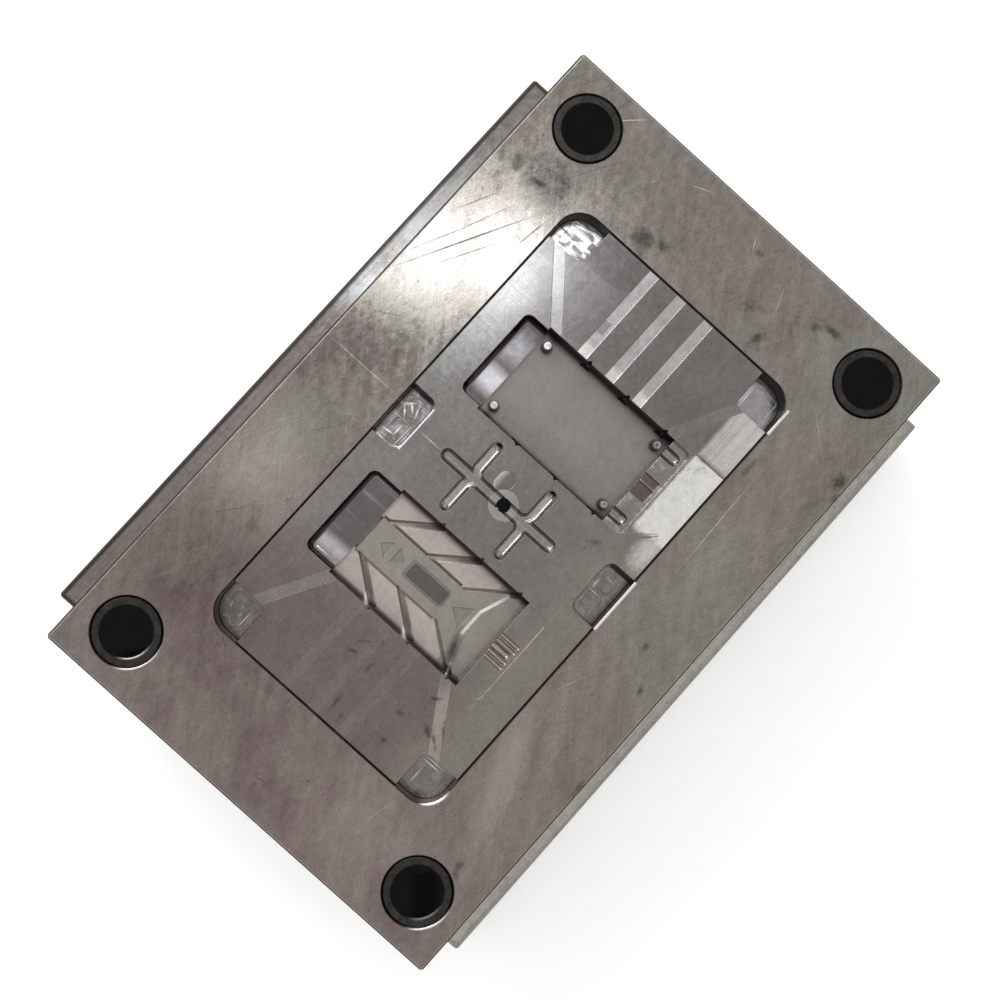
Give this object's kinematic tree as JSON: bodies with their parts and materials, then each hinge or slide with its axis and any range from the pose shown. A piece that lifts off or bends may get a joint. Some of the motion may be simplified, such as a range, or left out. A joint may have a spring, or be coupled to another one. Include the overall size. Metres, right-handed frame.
{
  "type": "mould cavity plate",
  "caption": "Cavity half of an injection mould: ground cavity plate on a wider clamp plate, with a flush insert holding front and back cover cavities, runner, interlocks and guide bushes.",
  "frame": {"origin": "centre of the locating ring's outer face, at the bottom centre of the whole part", "axes": "+X along the plates' long side, +Y across them, +Z out of the parting face"},
  "size_m": [0.4, 0.3, 0.115],
  "materials": {
    "plate_steel": "surface ground, with stains and fine scratches",
    "clamp_steel": "surface ground, stained",
    "insert_steel": "ground parting face, matt spark-eroded cavities, polished end bays",
    "bush_steel": "blackened, oiled",
    "sprue_steel": "turned and polished",
    "ring_steel": "turned",
    "screw_steel": "black oxide",
    "pin_steel": "polished",
    "seal_rubber": "matt black",
    "plug_brass": "turned"
  },
  "bodies": {
    "root": {"clamp_plate": "clamp_steel", "cavity_plate": "plate_steel", "cavity_insert": "insert_steel", "sprue_bush": "sprue_steel", "bush_dowel": "pin_steel", "locating_ring": "ring_steel", "ring_screws": "screw_steel", "clamp_screws": "screw_steel", "insert_screws": "screw_steel", "guide_bush_1": "bush_steel", "core_pin_1": "pin_steel", "seal_ring_1": "seal_rubber", "guide_bush_2": "bush_steel", "core_pin_2": "pin_steel", "seal_ring_2": "seal_rubber", "guide_bush_3": "bush_steel", "core_pin_3": "pin_steel", "seal_ring_3": "seal_rubber", "guide_bush_4": "bush_steel", "core_pin_4": "pin_steel", "seal_ring_4": "seal_rubber", "channel_plug_1": "plug_brass", "channel_plug_2": "plug_brass", "channel_plug_3": "plug_brass", "channel_plug_4": "plug_brass", "channel_plug_5": "plug_brass", "channel_plug_6": "plug_brass"}
  },
  "joints": []
}
